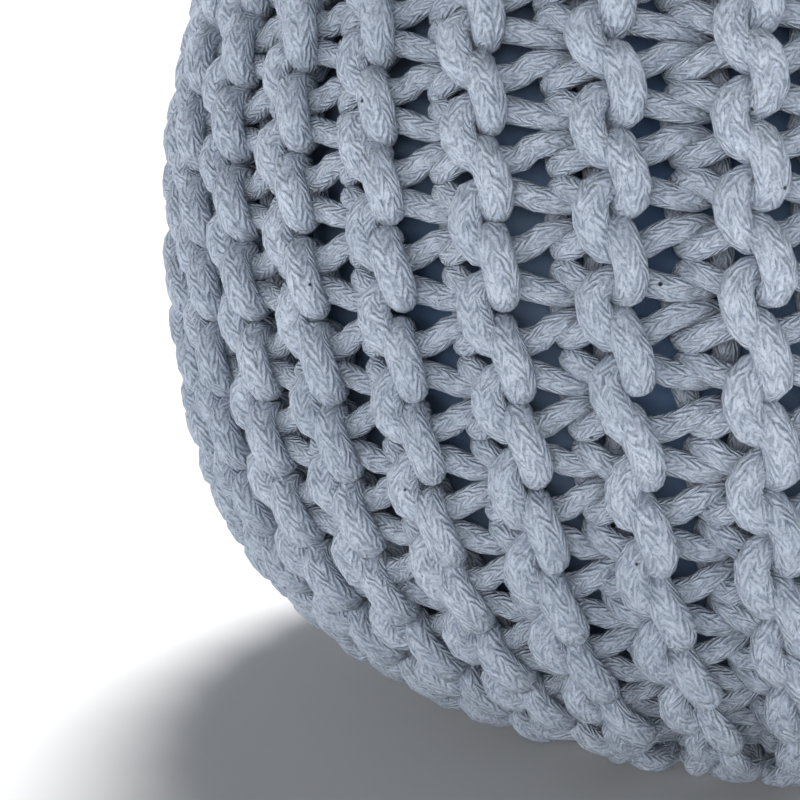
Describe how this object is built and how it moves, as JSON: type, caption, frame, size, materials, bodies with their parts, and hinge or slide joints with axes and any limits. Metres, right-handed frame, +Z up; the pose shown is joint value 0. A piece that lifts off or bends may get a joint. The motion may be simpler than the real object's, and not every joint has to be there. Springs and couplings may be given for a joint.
{
  "type": "knitted pouf",
  "caption": "Round floor pouf: a thick cotton cord cover knitted in vertical ridges, drawn together at top and bottom over a filled casing that shows between the stitches; it stands on a flat base.",
  "frame": {"origin": "On the floor, under the centre of the pouf", "axes": "+Z up along the line between the two gathers; +X and +Y level, the pouf is round"},
  "size_m": [0.5, 0.4982, 0.3949],
  "materials": {
    "knitted_cord": "matt pale grey-blue braided cotton cord, softly fuzzy, with fine darker flecks",
    "casing_cloth": "smooth slate-blue fine plain-woven cotton"
  },
  "bodies": {
    "root": {"knitted_cover": "knitted_cord", "inner_casing": "casing_cloth"}
  },
  "joints": []
}
